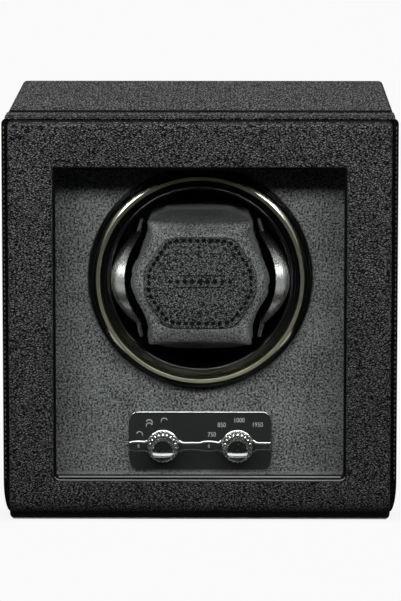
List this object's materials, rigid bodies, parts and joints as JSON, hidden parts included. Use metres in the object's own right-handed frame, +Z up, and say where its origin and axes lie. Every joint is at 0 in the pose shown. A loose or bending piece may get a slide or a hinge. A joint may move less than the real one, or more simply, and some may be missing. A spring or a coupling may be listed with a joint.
{
  "type": "watch winder box",
  "caption": "Leather-covered watch winder box with a flip-up window lid, a belt-driven drum with a sprung watch cushion, and selector knobs.",
  "frame": {"origin": "on the surface that the feet stand on, at the centre of the whole outline seen from above", "axes": "+Z up, the window faces -Y, +X to the right seen from the front"},
  "size_m": [0.1528, 0.148, 0.157],
  "materials": {
    "pebbled_leather": "black pebble-grain leather, satin",
    "smooth_leather": "dark grey smooth leather, satin, stitched edge",
    "suede": "dark grey suede, matte",
    "fibreboard": "medium-density fibreboard, matte",
    "clear_glass": "clear, polished",
    "black_plastic": "black moulded plastic, satin",
    "gloss_black": "black, high gloss",
    "gunmetal": "dark gunmetal plating, glossy",
    "chrome": "bright chrome plating",
    "steel": "zinc-plated steel, satin",
    "brass": "machined brass, satin",
    "rubber": "black rubber, matte",
    "circuit_green": "green circuit board, satin"
  },
  "bodies": {
    "case": {"axle_bush": "brass", "back_cover": "black_plastic", "back_screw_1": "steel", "back_screw_2": "steel", "back_screw_3": "steel", "back_screw_4": "steel", "case_bottom_board": "fibreboard", "case_leather": "pebbled_leather", "case_left_board": "fibreboard", "case_magnet": "steel", "case_right_board": "fibreboard", "case_top_board": "fibreboard", "chassis_plate": "steel", "chassis_spacer_1": "brass", "chassis_spacer_2": "brass", "chassis_spacer_3": "brass", "chassis_spacer_4": "brass", "control_board": "circuit_green", "control_plate": "gloss_black", "dc_jack": "black_plastic", "direction_switch": "black_plastic", "drive_belt": "rubber", "drum_bezel": "black_plastic", "fascia_panel": "suede", "foot_1": "rubber", "foot_2": "rubber", "foot_3": "rubber", "foot_4": "rubber", "gearbox": "brass", "hinge_strip_case": "pebbled_leather", "jack_nut": "steel", "motor": "steel", "motor_lead": "rubber", "power_lead": "rubber", "recess_lining": "suede", "turns_switch": "black_plastic"},
    "lid": {"lid_board": "pebbled_leather", "lid_frame": "pebbled_leather", "window_glass": "clear_glass", "glass_retainer": "black_plastic", "lid_magnet": "steel", "hinge_strip_lid": "pebbled_leather"},
    "drum": {"drum_cup": "black_plastic", "drum_rim": "gunmetal", "drum_pulley": "black_plastic", "drum_axle": "steel", "axle_clip": "steel", "cushion_core": "suede", "cushion_pad": "suede", "cushion_patch": "smooth_leather"},
    "left_bow": {"bow_left": "gunmetal"},
    "right_bow": {"bow_right": "gunmetal"},
    "direction_knob": {"knob_left": "chrome", "knob_cap_left": "chrome", "selector_shaft_left": "brass"},
    "turns_knob": {"knob_right": "chrome", "knob_cap_right": "chrome", "selector_shaft_right": "brass"},
    "motor_rotor": {"motor_shaft": "steel", "motor_pulley": "brass"}
  },
  "joints": [
    {"name": "lid_hinge", "type": "hinge", "parent": "case", "child": "lid", "pos_m": [0, -0.061, 0.157], "axis": [-1, 0, 0], "range_deg": [0, 185]},
    {"name": "drum_spin", "type": "hinge", "parent": "case", "child": "drum", "pos_m": [0, -0.03, 0.0916], "axis": [0, 1, 0], "continuous": true},
    {"name": "motor_spin", "type": "hinge", "parent": "case", "child": "motor_rotor", "pos_m": [0, -0.0042, 0.036], "axis": [0, 1, 0], "continuous": true},
    {"name": "direction_knob_turn", "type": "hinge", "parent": "case", "child": "direction_knob", "pos_m": [-0.0146, -0.055, 0.0253], "axis": [0, 1, 0], "range_deg": [0, 90]},
    {"name": "turns_knob_turn", "type": "hinge", "parent": "case", "child": "turns_knob", "pos_m": [0.0146, -0.055, 0.0253], "axis": [0, 1, 0], "range_deg": [0, 150]},
    {"name": "left_bow_squeeze", "type": "slide", "parent": "drum", "child": "left_bow", "axis": [1, 0, 0], "range_m": [0, 0.0015], "stiffness_N_per_m": 300, "springref_m": -0.0005},
    {"name": "right_bow_squeeze", "type": "slide", "parent": "drum", "child": "right_bow", "axis": [-1, 0, 0], "range_m": [0, 0.0015], "stiffness_N_per_m": 300, "springref_m": -0.0005}
  ],
  "couplings": [
    {"joint": "motor_spin", "follows": "drum_spin", "ratio": 5.7059}
  ]
}
